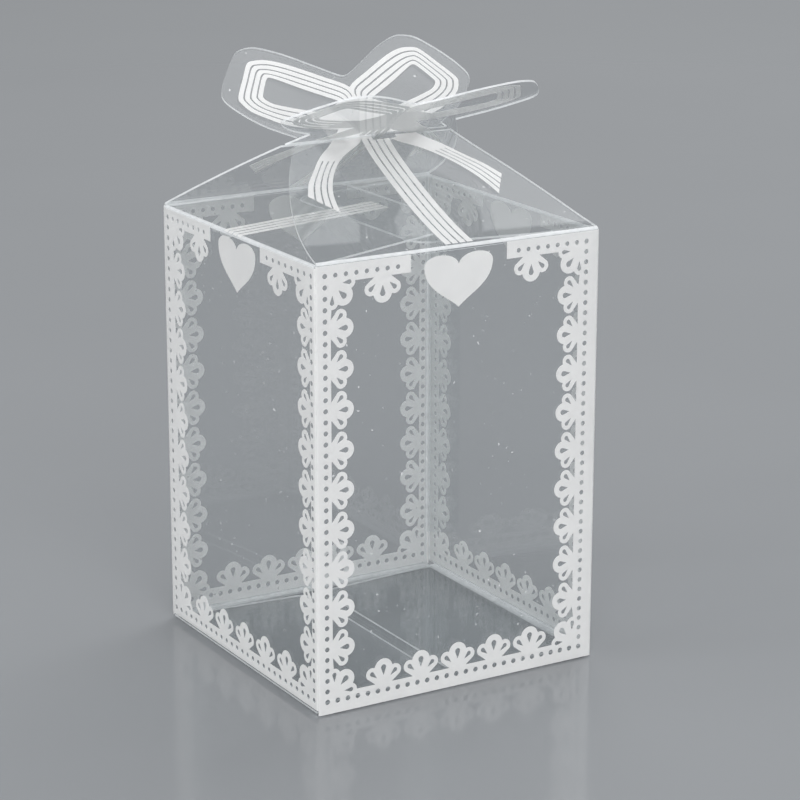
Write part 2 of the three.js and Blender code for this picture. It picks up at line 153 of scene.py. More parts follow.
# A roof flap's sides: half its width at the crease, and how much of it goes with each millimetre up the
# flap and with that distance squared, up to the notch under the bow. The bow's edge runs on from there.
# Places are across the flat flap and up it from its crease.
FLAP_HALF = 24.6
FLAP_TAPER = 0.1
FLAP_CURVE = 0.0093
NOTCH = (13.0, 30.5)
BOW_EDGE = [
    (17.5, 33.5), (20.8, 37.0), (22.2, 39.6), (21.5, 42.0), (19.8, 44.8), (18.0, 47.2), (16.2, 49.1),
    (14.0, 49.8), (12.0, 49.5), (8.5, 47.7), (4.5, 44.9), (1.2, 42.6), (0.0, 42.1),
]

# The printed bow's right half
LOOP_OUTSIDE = [
    (-0.1, 36.4), (0.0, 39.5), (4.0, 42.3), (9.0, 45.4), (12.0, 46.7), (14.3, 46.8), (15.7, 46.2),
    (17.5, 43.3), (19.6, 39.7), (19.6, 38.3), (18.5, 36.4), (16.3, 34.7), (14.0, 33.2), (10.5, 32.0),
    (5.4, 31.1),
]
LOOP_INSIDE = [
    (2.5, 36.2), (3.2, 37.0), (5.2, 38.2), (8.0, 39.9), (11.0, 41.9), (12.6, 42.9), (13.4, 42.9),
    (14.4, 41.4), (15.4, 39.5), (15.5, 39.0), (15.2, 38.4), (14.2, 37.5), (11.5, 36.4), (8.0, 35.2),
    (5.0, 34.4),
]
TAIL_INSIDE = [(2.4, 28.7), (3.3, 27.6), (7.3, 25.0), (10.6, 21.3), (12.9, 16.9), (14.0, 12.3)]
TAIL_OUTSIDE = [(5.4, 31.1), (8.4, 27.9), (11.0, 25.6), (13.7, 22.3), (15.7, 19.8), (17.2, 17.0)]

# Stripes of the ribbon, the tails and the loops: their number and the gaps between them, the width they
# share, and which points of the smoothed lines the gaps, the loop's opening and its outline run over
STRIPES = 4
STRIPE_GAP = 0.3
RIBBON_HALF = 2.4
RIBBON_FOOT = 0.6
RIBBON_GAP_TOP = 28.5
TAIL_WIDTH = 4.8
LOOP_WIDTH = 4.4
TAIL_GAPS = slice(9, None)
LOOP_GAPS = slice(2, -5)
LOOP_OPENING = slice(3, -2)
LOOP_OUTLINE = slice(4, -1)

# The thinner ribbon on the left flap under the roof: its stripes and gaps, its lower and upper end, and how
# far it is off the middle
THIN_STRIPE = 0.95
THIN_GAP = 0.48
THIN_RIBBON = (0.12, 26.0)
THIN_RIBBON_SHIFT = -0.9

# Side view of each roof flap: the distance up it from its crease, and its slope there
ROOF_START = -0.45
ROOF_FOLD = (-0.2, 0.25)
FRONT_SLOPE = [
    (ROOF_START, 90), (ROOF_FOLD[0], 90), (ROOF_FOLD[1], 15),
    (8, 22), (16, 26), (24, 29), (30, 36), (36, 38.5), (52, 36),
]
BACK_SLOPE = [
    (ROOF_START, 90), (ROOF_FOLD[0], 90), (ROOF_FOLD[1], 25),
    (10, 27.5), (20, 29.5), (27, 29.5), (34, 26), (52, 24.5),
]
FILM_ROWS = (1.0, 49.0)
BOW_ROWS = (1.0, 47.0)

# The slit: its width, where it ends across the flap, and the opening in the knot, below the crossing and
# to the right. The front bow hangs in its slit a little to the right, from one place up the flap to another.
SLIT = 0.7
SLIT_END = -0.5
KNOT_OPENING_DEPTH = 1.0
KNOT_OPENING_END = 3.8
LEAN_BETWEEN = (24.0, 45.0)
BOW_LEAN = {"front": 1.0, "back": 0.0}

# The flaps under the roof: half their width at the crease and towards the end, the radius of the end's
# corners and how far in from the side their centres lie, the step in each side as far in and up, how far
# they reach in, how far they run on below the crease, and how far each one tilts up
DUST_FLAP_HALF = 24.3
DUST_FLAP_TIP = 18.9
DUST_FLAP_CORNER = 3.0
DUST_FLAP_CORNER_IN = 2.0
DUST_FLAP_STEP = [(0, 0.6), (0.5, 2.0)]
DUST_FLAP_REACH = 29.0
DUST_FLAP_LEAD = 0.15
DUST_FLAP_TILT = {"left": 3.5, "right": 0.0}

# The base panel, its tongue and its two flaps: half their width, their length, how far they run on past the
# crease, the length of their track, how much their sides run in from SIDES_FROM on, their corners' radius,
# and where their crease lies. WHITENED is how far past its crease the base is frosted.
SIDES_FROM = 1.0
WHITENED = 0.9
BASE_HALF = 24.5
BASE_LENGTH = 2 * WALL - 1.0 - TIGHT_FOLD + CREASE_LENGTH
BASE_LEAD = 0.2
BASE_LEVEL = 0.15
TONGUE_HALF = 24.2
TONGUE_LENGTH = 11.8 + CREASE_LENGTH
TONGUE_LEAD = 0.1
TONGUE_TRACK = 14
TONGUE_TAPER = 1.0
TONGUE_CORNER = 5.0
TONGUE_CREASE = 24.15
BASE_FLAP_HALF = 22.6
BASE_FLAP_LENGTH = 23.6
BASE_FLAP_LEAD = 0.15
BASE_FLAP_TRACK = 30
BASE_FLAP_TAPER = 1.5
BASE_FLAP_CORNER = 3.0
BASE_FLAP_CREASE = 1.05

# Which of its piece's finishes a face has
FACE, EDGE, CREASE = 0, 1, 2
FAR_SIDE = 2


# Cutting, thickening, folding and placing a sheet


def pick(piece):
    bpy.ops.object.select_all(action="DESELECT")
    piece.select_set(True)
    bpy.context.view_layer.objects.active = piece


def draw(name, lines, closed):
    """A flat curve across X and up Y, of lines with straight sides."""
    drawing = bpy.data.curves.new(name, "CURVE")
    drawing.dimensions = "2D"
    for line in lines:
        spline = drawing.splines.new("POLY")
        spline.points.add(len(line) - 1)
        for stop, (x, y) in zip(spline.points, line):
            stop.co = (x, y, 0, 1)
        spline.use_cyclic_u = closed
    shape = bpy.data.objects.new(name, drawing)
    bpy.context.collection.objects.link(shape)
    return shape


def cut(name, outlines):
    """A flat piece that faces up. An outline inside another one is a hole."""
    piece = draw(name, outlines, True)
    piece.data.fill_mode = "BOTH"
    pick(piece)
    bpy.ops.object.convert(target="MESH")
    piece = bpy.context.object
    bpy.ops.object.mode_set(mode="EDIT")
    bpy.ops.mesh.select_all(action="SELECT")
    bpy.ops.mesh.remove_doubles(threshold=MERGE)
    bpy.ops.mesh.normals_make_consistent(inside=False)
    bpy.ops.object.mode_set(mode="OBJECT")
    if piece.data.polygons[0].normal.z < 0:
        piece.data.flip_normals()
    return piece


def score(piece, axis, distances):
    """Cuts edges into the sheet along straight lines, where it is going to bend."""
    pick(piece)
    bpy.ops.object.mode_set(mode="EDIT")
    for distance in distances:
        bpy.ops.mesh.select_all(action="SELECT")
        bpy.ops.mesh.bisect(plane_co=axis * distance, plane_no=axis)
    bpy.ops.object.mode_set(mode="OBJECT")


def cut_slit(piece, at):
    """Opens the slit that lets the other roof flap through, from near the middle to the right edge."""
    low, high, knot_low = at - SLIT / 2, at + SLIT / 2, at - KNOT_OPENING_DEPTH
    score(piece, UP, [knot_low, low, high])
    score(piece, ACROSS, [SLIT_END, KNOT_OPENING_END])
    bpy.ops.object.mode_set(mode="EDIT")
    bpy.ops.mesh.select_all(action="DESELECT")
    bpy.ops.object.mode_set(mode="OBJECT")
    for face in piece.data.polygons:
        x, y = face.center.xy
        face.select = SLIT_END < x and (knot_low if x < KNOT_OPENING_END else low) < y < high
    bpy.ops.object.mode_set(mode="EDIT")
    bpy.ops.mesh.select_mode(type="FACE")
    bpy.ops.mesh.delete(type="FACE")
    bpy.ops.object.mode_set(mode="OBJECT")


def lean(piece, shift):
    """Leans the upper part of a roof flap to the right."""
    start, end = LEAN_BETWEEN
    for corner in piece.data.vertices:
        corner.co.x += shift * min(max((corner.co.y - start) / (end - start), 0), 1)


def thicken(piece, thickness, finishes, lift=0.0):
    """Gives a flat piece its thickness. Its faces take the first finish and its edges the second."""
    for finish in finishes:
        piece.data.materials.append(finish)
    pick(piece)
    body = piece.modifiers.new("thickness", "SOLIDIFY")
    body.thickness = thickness
    body.offset = 0
    body.material_offset_rim = EDGE
    bpy.ops.object.modifier_apply(modifier=body.name)
    piece.data.transform(Matrix.Translation((0, 0, lift)))


def frost(piece, axis, low, high):
    """Film turns whitish where it is creased."""
    for face in piece.data.polygons:
        if face.material_index == FACE and low < face.center.dot(axis) < high:
            face.material_index = CREASE


def follow(piece, track, turn):
    """Bends the piece along a track. turn brings the sheet's own directions to those of the bend."""
    guide = draw("track", [track], False)
    piece.data.transform(turn)
    pick(piece)
    bend = piece.modifiers.new("bend", "CURVE")
    bend.object = guide
    bend.deform_axis = "POS_X"
    bpy.ops.object.modifier_apply(modifier=bend.name)
    bpy.data.objects.remove(guide)


# Up the sheet becomes along the track, and the face of the print its left side
CREASED = Matrix(((0, 1, 0, 0), (0, 0, 1, 0), (1, 0, 0, 0), (0, 0, 0, 1)))
# Across the sheet becomes along the track, and the face of the print its right side
WRAPPED = Matrix.Rotation(math.pi / 2, 4, "X")


def fold_flap(piece, track, start):
    """Bends a flap up its length. start is how far up the flap its track begins."""
    piece.data.transform(Matrix.Translation((0, -start, 0)))
    follow(piece, track, CREASED)
    piece.data.transform(CREASED.inverted())


def place(piece, at=(0, 0, 0), turn=0):
    """Puts the piece where it belongs in metres, turned round the upright axis, with its place in its mesh."""
    pick(piece)
    piece.rotation_euler = (0, 0, math.radians(turn))
    piece.location = Vector(at) * MM
    piece.scale = (MM, MM, MM)
    bpy.ops.object.transform_apply(location=True, rotation=True, scale=True)
    bpy.ops.object.mode_set(mode="EDIT")
    bpy.ops.mesh.select_all(action="SELECT")
    bpy.ops.mesh.normals_make_consistent(inside=False)
    bpy.ops.object.mode_set(mode="OBJECT")
    bpy.ops.object.shade_smooth_by_angle(angle=math.radians(SMOOTH_ANGLE))


def march(start, headings):
    """Points of a track whose heading changes evenly between the given distances along it."""
    x, y = start
    points = [(x, y)]
    for (near, first), (far, last) in zip(headings, headings[1:]):
        steps = max(FOLD_STEPS, round((far - near) / ROW))
        length = (far - near) / steps
        for step in range(steps):
            heading = math.radians(first + (last - first) * (step + 0.5) / steps)
            x += length * math.cos(heading)
            y += length * math.sin(heading)
            points.append((x, y))
    return points


def crease_track(start, first, last, lead, length):
    """A short run into a crease at the first heading, and a straight run out of it at the last one."""
    return march(start, [(-lead, first), (0, first), (CREASE_LENGTH, last), (length, last)])


# Drawing the outlines


def spaced(count, first, last):
    return [first + (last - first) * i / (count - 1) for i in range(count)]


def rows(low, high):
    """Rows up a flap, from one distance to another."""
    return spaced(round((high - low) / ROW) + 1, low, high)


def crease_rows():
    return spaced(FOLD_STEPS + 1, 0, CREASE_LENGTH)


def mirrored(points):
    return [(-x, y) for x, y in reversed(points)]


def line_between(a, b, share):
    """A line between two others that have as many points."""
    return [(p[0] + (q[0] - p[0]) * share, p[1] + (q[1] - p[1]) * share) for p, q in zip(a, b)]


def smooth(points):
    """A Catmull-Rom curve through the points."""
    ends = [points[0], *points, points[-1]]
    line = []
    for a, b, c, d in zip(ends, ends[1:], ends[2:], ends[3:]):
        for step in range(SMOOTH_STEPS):
            t = step / SMOOTH_STEPS
            line.append(tuple(
                0.5 * (
                    2 * q + (r - p) * t + (2 * p - 5 * q + 4 * r - s) * t * t
                    + (3 * q - p - 3 * r + s) * t ** 3
                )
                for p, q, r, s in zip(a, b, c, d)
            ))
    return [*line, points[-1]]


def bezier(ends_and_handles, steps):
    """A curve from the first point to the last, with the two between as its handles."""
    corners = [Vector(point).to_3d() for point in ends_and_handles]
    return [tuple(spot[:2]) for spot in geometry.interpolate_bezier(*corners, steps)]


def arc(centre, radius, first, last, steps):
    angles = [math.radians(first + (last - first) * i / steps) for i in range(steps + 1)]
    return [(centre[0] + radius * math.cos(a), centre[1] + radius * math.sin(a)) for a in angles]


def hole(x, y, radius):
    return arc((x, y), radius, 0, 360 - 360 / HOLE_SIDES, HOLE_SIDES - 1)


def teardrop(tip, centre, radius):
    """An eyelet that runs from a point to a round end."""
    away = math.degrees(math.atan2(centre[1] - tip[1], centre[0] - tip[0]))
    spread = 90 + math.degrees(math.asin(radius / math.dist(tip, centre)))
    return [tip, *arc(centre, radius, away - spread, away + spread, EYELET_STEPS)]


def flower_line(corner):
    """The edge of a flower, over its three petals. One that fills a corner has no feet."""
    left = arc(*CORNER_PETAL) if corner else [FLOWER_FOOT, *arc(*SIDE_PETAL)]
    return [*left, *arc(*TOP_PETAL), *mirrored(left)]


def eyelets():
    side = teardrop(*SIDE_EYELET)
    return [teardrop(*TOP_EYELET), side, mirrored(side)]


def set_down(points, spot, towards, size):
    """Puts points that are drawn for a flower that points up at a spot, in a direction and at a size."""
    tx, ty = towards
    return [(spot[0] + size * (y * tx - x * ty), spot[1] + size * (x * tx + y * ty)) for x, y in points]


def from_middle(pair):
    """A pair of places on a wall, from its middle."""
    return [x - WALL_WIDTH / 2 for x in pair]


def lace_flowers(places):
    """Each flower's spot, direction, size and whether it fills a corner, from the right end of the top band
    round to its left end."""
    left_band, right_band = from_middle(places["bands"])
    left, right = from_middle(places["flowers"])
    left_hanging, right_hanging = from_middle(places["hanging"])
    base = BASE_BAND + places["rise"]
    column = spaced(SIDE_FLOWER_COUNT, SIDE_FLOWERS[0], SIDE_FLOWERS[1] + places["rise"])
    row = spaced(BASE_FLOWER_COUNT, *from_middle(places["base"]))

    def in_corner(x, y, across, up):
        spot = (x + across * DIAGONAL * CORNER_STAND_OFF, y + up * DIAGONAL * CORNER_STAND_OFF)
        return spot, (across * DIAGONAL, up * DIAGONAL), 1, True

    return [
        ((right_hanging, TOP_BAND), (0, -1), 1, False),
        in_corner(right_band, TOP_BAND, -1, -1),
        *[((right, y), (-1, 0), SIDE_FLOWER_SIZE, False) for y in column],
        in_corner(right_band, base, -1, 1),
        *[((x, base), (0, 1), 1, False) for x in reversed(row)],
        in_corner(left_band, base, 1, 1),
        *[((left, y), (1, 0), SIDE_FLOWER_SIZE, False) for y in reversed(column)],
        in_corner(left_band, TOP_BAND, 1, -1),
        ((left_hanging, TOP_BAND), (0, -1), 1, False),
    ]


def lace_outlines(half, low, high, places):
    """One wall's lace. half is where its ends meet the next walls' lace, low and high are its two edges."""
    left_run, right_run = from_middle(places["runs"])
    left_holes, right_holes = from_middle(places["holes"])
    outside = [
        (left_run, TOP_BAND), (left_run, high), (-half, high), (-half, low), (half, low), (half, high),
        (right_run, high), (right_run, TOP_BAND),
    ]
    openings = []
    for spot, towards, size, corner in lace_flowers(places):
        outside += set_down(flower_line(corner), spot, towards, size)
        openings += [set_down(eyelet, spot, towards, size) for eyelet in eyelets()]
    low_holes = LOW_HOLES + places["rise"]
    for x, count in zip((left_holes, right_holes), COLUMN_HOLES):
        openings += [hole(x, y, COLUMN_HOLE) for y in spaced(count, TOP_HOLES, low_holes)[:-1]]
    openings += [hole(x, low_holes, BASE_HOLE) for x in spaced(BASE_HOLES, left_holes, right_holes)]
    for first, last in ((left_holes, left_run - RUN_ENDS[0]), (right_holes, right_run + RUN_ENDS[1])):
        openings += [hole(x, TOP_HOLES, TOP_HOLE) for x in spaced(RUN_HOLES, first, last)[1:]]
    return [outside, *openings]


def heart_outline(middle):
    right = [*bezier(HEART_FLANK, HEART_STEPS), *bezier(HEART_LOBE, HEART_STEPS)[1:]]
    return [(middle - WALL_WIDTH / 2 + x, HEART_CROWN + y) for x, y in [*right, *mirrored(right)[1:-1]]]


def flap_half(distance):
    """Half the width of a roof flap at a distance up it."""
    return FLAP_HALF - FLAP_TAPER * distance - FLAP_CURVE * distance * distance


def roof_outline():
    side = [(flap_half(max(y, 0)), y) for y in [ROOF_START, *rows(0, NOTCH[1])]]
    right = [*side[:-1], NOTCH, *smooth([NOTCH, *BOW_EDGE])[1:]]
    return [*right, *mirrored(right)[1:]]


def gaps(width):
    """Where the gaps between stripes start and end, as shares of the width."""
    stripe = (width - (STRIPES - 1) * STRIPE_GAP) / STRIPES
    ends = [(i + 1) * stripe + i * STRIPE_GAP for i in range(STRIPES - 1)]
    return [(end / width, (end + STRIPE_GAP) / width) for end in ends]


def bow_outlines():
    """The printed bow: ribbon, tails, knot and loops in one outline, and the clear parts in it."""
    lines = (TAIL_INSIDE, TAIL_OUTSIDE, LOOP_OUTSIDE, LOOP_INSIDE)
    tail_in, tail_out, loop_out, loop_in = [smooth(line) for line in lines]
    foot = [(-RIBBON_HALF, RIBBON_FOOT)]
    for near, far in gaps(2 * RIBBON_HALF):
        a, b = (near * 2 - 1) * RIBBON_HALF, (far * 2 - 1) * RIBBON_HALF
        foot += [(a, RIBBON_FOOT), (a, RIBBON_GAP_TOP), (b, RIBBON_GAP_TOP), (b, RIBBON_FOOT)]
    foot.append((RIBBON_HALF, RIBBON_FOOT))
    tail_end = []
    for near, far in gaps(TAIL_WIDTH):
        tail_end += reversed(line_between(tail_in, tail_out, near)[TAIL_GAPS])
        tail_end += line_between(tail_in, tail_out, far)[TAIL_GAPS]
    right = [*tail_in, *tail_end, *reversed(tail_out), *reversed(loop_out[LOOP_OUTLINE])]
    clear = [loop_in[LOOP_OPENING]]
    for near, far in gaps(LOOP_WIDTH):
        one = line_between(loop_out, loop_in, near)[LOOP_GAPS]
        other = line_between(loop_out, loop_in, far)[LOOP_GAPS]
        clear.append([*one, *reversed(other)])
    return [[*foot, *right, *mirrored(right)[1:]], *clear, *[mirrored(line) for line in clear]]


def thin_ribbon():
    """The ribbon on the flap under the roof: stripes with open gaps between them."""
    low, high = THIN_RIBBON
    stripes = []
    for i in range(STRIPES):
        middle = THIN_RIBBON_SHIFT + (i - (STRIPES - 1) / 2) * (THIN_STRIPE + THIN_GAP)
        left, right = middle - THIN_STRIPE / 2, middle + THIN_STRIPE / 2
        stripes.append([(left, low), (right, low), (right, high), (left, high)])
    return stripes


def dust_flap_outline(reach):
    slope = (DUST_FLAP_HALF - DUST_FLAP_TIP) / (reach - DUST_FLAP_STEP[-1][1])
    round_end = (DUST_FLAP_TIP - DUST_FLAP_CORNER_IN * (1 + slope), reach - DUST_FLAP_CORNER)
    right = [(DUST_FLAP_HALF, -DUST_FLAP_LEAD), *[(DUST_FLAP_HALF - x, y) for x, y in DUST_FLAP_STEP]]
    right += arc(round_end, DUST_FLAP_CORNER, 0, 90, CORNER_STEPS)
    return [*right, *mirrored(right)]


def tapered(half, lead, length, taper, corner):
    """A flap whose sides run in to a rounded end."""
    bend = arc((half - taper - corner, length - corner), corner, 0, 90, CORNER_STEPS)
    right = [(half, -lead), (half, SIDES_FROM), *bend]
    return [*right, *mirrored(right)]


# Finishes


class Amount:
    """What a node gives out. Arithmetic on it adds Math nodes."""

    def __init__(self, finish, socket):
        self.finish = finish
        self.socket = socket

    def __add__(self, other):
        return self.finish.math("ADD", self, other)

    def __sub__(self, other):
        return self.finish.math("SUBTRACT", self, other)

    def __rsub__(self, other):
        return self.finish.math("SUBTRACT", other, self)

    def __mul__(self, other):
        return self.finish.math("MULTIPLY", self, other)

    def __pow__(self, other):
        return self.finish.math("POWER", self, other)

    def __rpow__(self, other):
        return self.finish.math("POWER", other, self)

    def __gt__(self, other):
        return self.finish.math("GREATER_THAN", self, other)

    def __lt__(self, other):
        return self.finish.math("LESS_THAN", self, other)

    __radd__ = __add__
    __rmul__ = __mul__


class Finish:
    """The nodes of a material, or of the sky, added one by one."""

    def __init__(self, owner):
        self.owner = owner
        owner.use_nodes = True
        self.nodes = owner.node_tree.nodes
        self.links = owner.node_tree.links
        self.nodes.clear()

    def node(self, kind, settings=None, sockets=None, output=0):
        """Adds a node: its settings first, and then the values or links of its sockets."""
        made = self.nodes.new(kind)
        for name, value in (settings or {}).items():
            setattr(made, name, value)
        for name, value in (sockets or {}).items():
            if isinstance(value, Amount):
                self.links.new(value.socket, made.inputs[name])
            else:
                made.inputs[name].default_value = value
        return Amount(self, made.outputs[output]) if made.outputs else None

    def math(self, operation, *values):
        return self.node("ShaderNodeMath", {"operation": operation}, dict(enumerate(values)))

    def noise(self, scale, detail=2.0, roughness=0.5):
        spot = self.node("ShaderNodeTexCoord", output="Object")
        return self.node("ShaderNodeTexNoise", {}, {
            "Vector": spot, "Scale": scale, "Detail": detail, "Roughness": roughness,
        })

    def shade(self, low, high, share):
        """A colour between two, by a share that changes over the surface."""
        return self.node("ShaderNodeMix", {"data_type": "RGBA"}, {0: share, 6: low, 7: high}, output=2)

    def blend(self, share, one, other):
        return self.node("ShaderNodeMixShader", {}, {0: share, 1: one, 2: other})

    def surface(self, shader):
        self.node("ShaderNodeOutputMaterial", {}, {"Surface": shader})
        return self.owner


# Clear film: how much it mirrors head on and at a glancing angle, how quickly that grows, how much haze the
# smudges add, and how many specks of dust there are and how well they cover
MIRROR = 0.03
GLANCING_MIRROR = 0.3
MIRROR_GROWTH = 5.0
HAZE = 0.03
DUST_ABOVE = 0.86
DUST_COVER = 0.4

# Frosted film: how much of it is milky, how much more the grain adds, and how much light goes through
FROST = 0.6
FROST_GRAIN = 0.25
FROST_THROUGH = 0.25

# White print: how much light goes through it
PRINT_THROUGH = 0.38


def clear_film(name):
    """Film that lets light through, mirrors more at a glancing angle, and has faint haze and dust."""
    finish = Finish(bpy.data.materials.new(name))
    dust = finish.noise(1500.0, 0.0) > DUST_ABOVE
    smudge = finish.noise(55.0, 1.0)
    facing = finish.node("ShaderNodeLayerWeight", {}, {"Blend": 0.5}, output="Facing")
    share = MIRROR + GLANCING_MIRROR * facing ** MIRROR_GROWTH + HAZE * smudge + dust * DUST_COVER
    bump = finish.node("ShaderNodeBump", {}, {
        "Strength": 0.12, "Distance": 0.0006, "Height": finish.noise(38.0, 0.0),
    })
    shine = finish.node("ShaderNodeBsdfPrincipled", {}, {
        "Base Color": (0.95, 0.96, 0.97, 1), "Metallic": 1 - dust, "Roughness": 0.0, "Normal": bump,
    })
    see = finish.node("ShaderNodeBsdfTransparent", {}, {"Color": (0.98, 0.984, 0.985, 1)})
    return finish.surface(finish.blend(share, see, shine))


def frosted_film(name):
    """Film that scatters light, so that a cut edge or a crease shows as a bright line."""
    finish = Finish(bpy.data.materials.new(name))
    grain = finish.noise(900.0, 2.0)
    colour = finish.shade((0.8, 0.82, 0.83, 1), (0.92, 0.93, 0.94, 1), grain)
    glow = finish.node("ShaderNodeBsdfPrincipled", {}, {"Base Color": colour, "Roughness": 0.25})
    through = finish.node("ShaderNodeBsdfTranslucent", {}, {"Color": (0.93, 0.95, 0.96, 1)})
    milky = finish.blend(FROST_THROUGH, glow, through)
    see = finish.node("ShaderNodeBsdfTransparent", {}, {"Color": (0.95, 0.96, 0.96, 1)})
    return finish.surface(finish.blend(FROST + grain * FROST_GRAIN, see, milky))


def white_print(name, thin, full):
    """White print: near even, with a fine mottle where the ink is thinner."""
    finish = Finish(bpy.data.materials.new(name))
    mottle = finish.noise(260.0, 4.0, 0.6)
    grain = finish.noise(2600.0, 2.0, 0.6)
    bump = finish.node("ShaderNodeBump", {}, {"Strength": 0.25, "Distance": 0.00004, "Height": grain})
    cover = finish.node("ShaderNodeBsdfPrincipled", {}, {
        "Base Color": finish.shade(thin, full, mottle), "Roughness": 0.36 + mottle * 0.16, "Normal": bump,
    })
    glow = finish.node("ShaderNodeBsdfTranslucent", {}, {"Color": (0.93, 0.93, 0.92, 1)})
    return finish.surface(finish.blend(PRINT_THROUGH, cover, glow))


FILM_FINISH = clear_film("clear_film")
EDGE_FINISH = frosted_film("film_edge")
CREASE_FINISH = frosted_film("film_crease")
PRINT_FINISH = white_print("white_print", (0.79, 0.79, 0.79, 1), (0.9, 0.9, 0.895, 1))
# The print's side against the film: a copy of the white print whose tones were set for how that side is lit. It
# is painted shade, a little darker and cooler where the ink is full.
PRINT_FAR_SIDE_PAINTED_SHADE = white_print("print_far_side_painted_shade", (0.8, 0.8, 0.81, 1), (0.88, 0.88, 0.88, 1))
FILM_FINISHES = [FILM_FINISH, EDGE_FINISH, CREASE_FINISH]
CLEAR_EDGED_FINISHES = [FILM_FINISH, FILM_FINISH, CREASE_FINISH]
PRINT_FINISHES = [PRINT_FINISH, PRINT_FINISH, PRINT_FAR_SIDE_PAINTED_SHADE]


def ink(piece):
    """Thickens a print and lays it on the film. Its side against the film has a finish of its own, a copy of the
    print with painted shade: a little darker and cooler where the ink is full.
    """
    thicken(piece, INK, PRINT_FINISHES, FILM / 2 + INK_LIFT + INK / 2)
    for face in piece.data.polygons:
        if face.normal.z < -0.5:
            face.material_index = FAR_SIDE


def film_flap(name, outline, track, lead, whitened=0.0, finishes=FILM_FINISHES):
    """A flap of film, cut, scored, thickened and folded, and frosted as far past its crease as whitened says."""
    piece = cut(name, [outline])
    scores = crease_rows()
    if whitened:
        scores.append(scores[-1] + whitened)
    score(piece, UP, scores)
    thicken(piece, FILM, finishes)
    frost(piece, UP, -lead, scores[-1])
    fold_flap(piece, track, -lead)
    return piece


# Sleeve: one strip of film round four corners, with the lap that is glued inside the right wall


def sleeve_film():
    lap = WALL - FILM - GLUE
    flat = 2 * (WALL - FOLD)
    runs = [WALL - FOLD - LAP_EDGE, lap + WALL - 2 * FOLD, flat, flat, 2 * WALL - FOLD - SEAM_GAP]
    length, heading = 0, 90
    headings = [(length, heading)]
    corners = []
    for run in runs[:-1]:
        length += run
        headings.append((length, heading))
        corners.append(length + CORNER_LENGTH / 2)
        length += CORNER_LENGTH
        heading += 90
        headings.append((length, heading))
    length += runs[-1]
    headings.append((length, heading))

    stops = [0, *corners, length]
    heights = [LAP_HEIGHTS, BACK_WALL, SIDE_WALL, FRONT_WALL, SIDE_WALL]
    tapers = [LAP_TAPER, 0, 0, 0, 0]
    low_line, high_line = [], []
    for near, far, (low, high), taper in zip(stops, stops[1:], heights, tapers):
        low_line += [(near, low + taper), (far, low)]
        high_line += [(near, high - taper), (far, high)]
    piece = cut("sleeve_film", [[*low_line, *reversed(high_line)]])
    steps = [CORNER_LENGTH * (i / FOLD_STEPS - 0.5) for i in range(FOLD_STEPS + 1)]
    score(piece, ACROSS, [corner + step for corner in corners for step in steps])
    thicken(piece, FILM, FILM_FINISHES)
    for face in piece.data.polygons:
        if face.center.x < corners[0]:
            face.material_index = FACE
    for corner in corners:
        frost(piece, ACROSS, corner - CORNER_LENGTH / 2, corner + CORNER_LENGTH / 2)
    follow(piece, march((lap, LAP_EDGE), headings), WRAPPED)
    place(piece)
    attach(piece, "sleeve")
    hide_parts("wall_front", "wall_back", "wall_right", "wall_left", "glue_flap")


def wall_track():
    """Half a corner, a wall and half a corner, from the left of the front wall, and half that length."""
    turn = CORNER_LENGTH / 2
    start = -WALL + FOLD * (1 - DIAGONAL)
    ends = [0, turn, turn + 2 * (WALL - FOLD), 2 * turn + 2 * (WALL - FOLD)]
    return march((start, start), list(zip(ends, [-45, 0, 0, 45]))), ends[-1] / 2


def wall_print(name, outlines, track, half):
    piece = cut(name, outlines)
    folds = [half - CORNER_LENGTH / 2 * i / PRINT_FOLD_STEPS for i in range(1, PRINT_FOLD_STEPS + 1)]
    score(piece, ACROSS, [*folds, *[-fold for fold in folds]])
    ink(piece)
    piece.data.transform(Matrix.Translation((half, 0, 0)))
    follow(piece, track, WRAPPED)
    return piece


def sleeve_print():
    track, half = wall_track()
    walls = [
        ("front", 0, FRONT_LACE), ("right", 90, SIDE_LACE), ("back", 180, BACK_LACE), ("left", 270, SIDE_LACE),
    ]
    for side, turn, (low, high) in walls:
        places = LACE_PLACES[side]
        lace = wall_print(f"lace_print_{side}", lace_outlines(half, low, high, places), track, half)
        heart = wall_print(f"heart_print_{side}", [heart_outline(places["heart"])], track, half)
        for piece, node in ((lace, f"lace_{side}"), (heart, f"heart_{side}")):
            place(piece, turn=turn)
            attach(piece, "sleeve")
            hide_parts(node)


# Roof: two curved flaps that pass through each other's slit, each with its bow


def stretches(track, inwards):
    """Each straight stretch of a roof flap's track: how far up the flap it starts, and its two ends."""
    far = ROOF_START
    for a, b in zip(track, track[1:]):
        yield far, Vector((inwards * (a[0] - WALL), a[1])), Vector((inwards * (b[0] - WALL), b[1]))
        far += math.dist(a, b)


def meeting(front, back):
    """How far up the front and the back flap they cross."""
    for far, a, b in stretches(front, 1):
        for other_far, c, d in stretches(back, -1):
            spot = geometry.intersect_line_line_2d(a, b, c, d)
            if spot is not None:
                return far + (spot - a).length, other_far + (spot - c).length
    raise ValueError("the roof flaps don't cross")


def roof_sheet(name, outlines, scores, slit_at, shift):
    """A roof flap's film or print on the flat sheet, with its scored rows, its slit and its lean."""
    piece = cut(name, outlines)
    score(piece, UP, scores)
    cut_slit(piece, slit_at)
    lean(piece, shift)
    return piece


